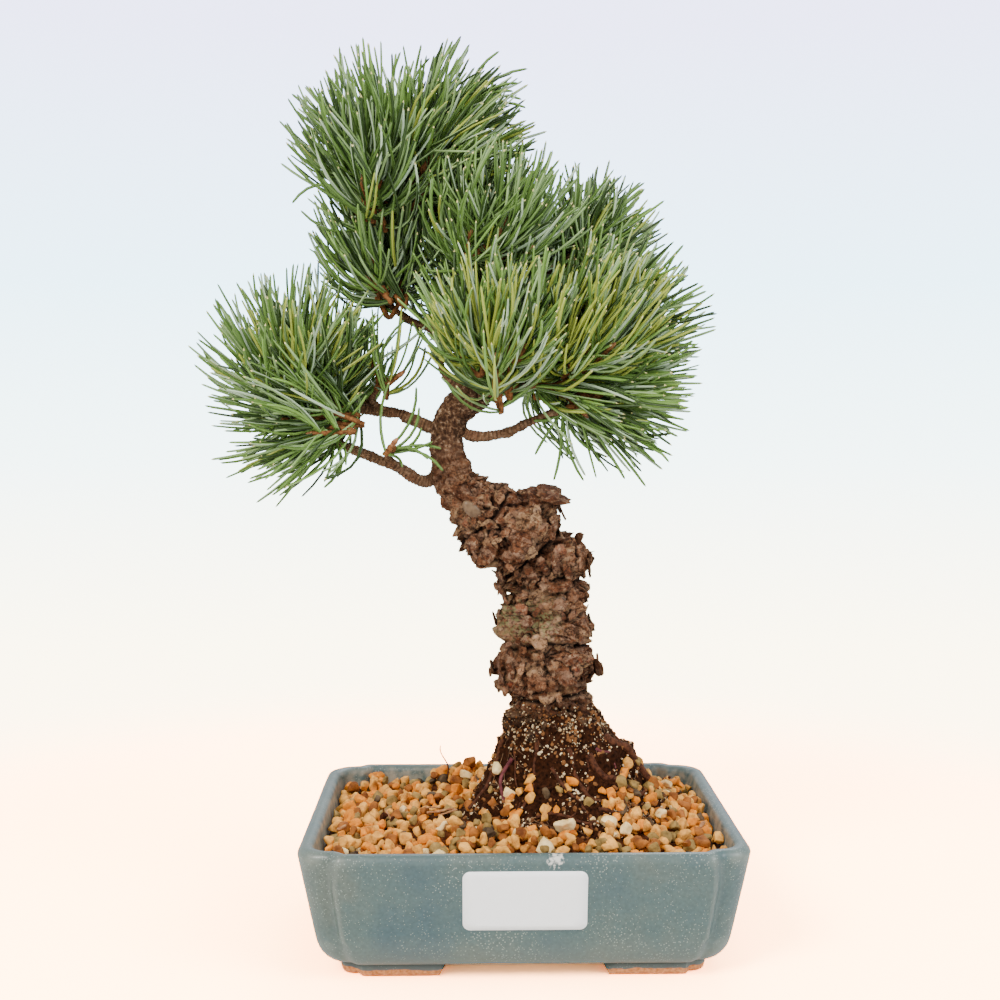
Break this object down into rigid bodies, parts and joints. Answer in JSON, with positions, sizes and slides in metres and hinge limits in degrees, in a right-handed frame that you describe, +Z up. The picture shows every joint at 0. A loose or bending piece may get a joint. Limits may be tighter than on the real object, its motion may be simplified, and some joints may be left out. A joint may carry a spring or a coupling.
{
  "type": "japanese white pine bonsai",
  "caption": "Potted miniature pine with a thick twisting trunk, thin boughs and dense needle tufts, in a rectangular glazed pot with stepped corners on low feet.",
  "frame": {"origin": "below the middle of the whole plant's box, on the plane that the pot's feet stand on", "axes": "+Z up, -Y the front that shows the long wall of the pot, +X to the right seen from the front"},
  "size_m": [0.2286, 0.152, 0.3853],
  "materials": {
    "glaze": "glossy speckled blue-green glaze",
    "gravel": "matt, rough grains",
    "old_soil": "matt, crumbly",
    "bark": "matt, flaking bark",
    "needles": "satin green"
  },
  "bodies": {
    "root": {"pot": "glaze", "pot_foot_front_left": "glaze", "pot_foot_front_right": "glaze", "pot_foot_back_left": "glaze", "pot_foot_back_right": "glaze", "gravel_bed": "gravel", "root_mound": "old_soil", "trunk": "bark", "leader_lower": "bark", "leader_upper": "bark", "left_lower_bough": "bark", "left_upper_bough": "bark", "right_lower_bough": "bark", "dead_stub": "bark", "inner_left_bough": "bark", "right_inner_bough": "bark", "right_outer_bough": "bark", "back_right_bough": "bark", "back_middle_bough": "bark", "middle_bough": "bark", "right_back_bough": "bark", "back_top_bough": "bark", "apex_right_bough": "bark", "left_spur": "bark", "lower_spur": "bark", "back_left_bough": "bark", "apex_left_foliage": "needles", "apex_right_foliage": "needles", "below_apex_foliage": "needles", "middle_foliage": "needles", "right_back_foliage": "needles", "right_inner_foliage": "needles", "right_outer_foliage": "needles", "right_lower_foliage": "needles", "left_upper_foliage": "needles", "left_lower_foliage": "needles", "left_inner_foliage": "needles", "lower_fan_foliage": "needles", "back_left_foliage": "needles", "back_top_foliage": "needles", "back_middle_foliage": "needles", "back_right_foliage": "needles"}
  },
  "joints": []
}
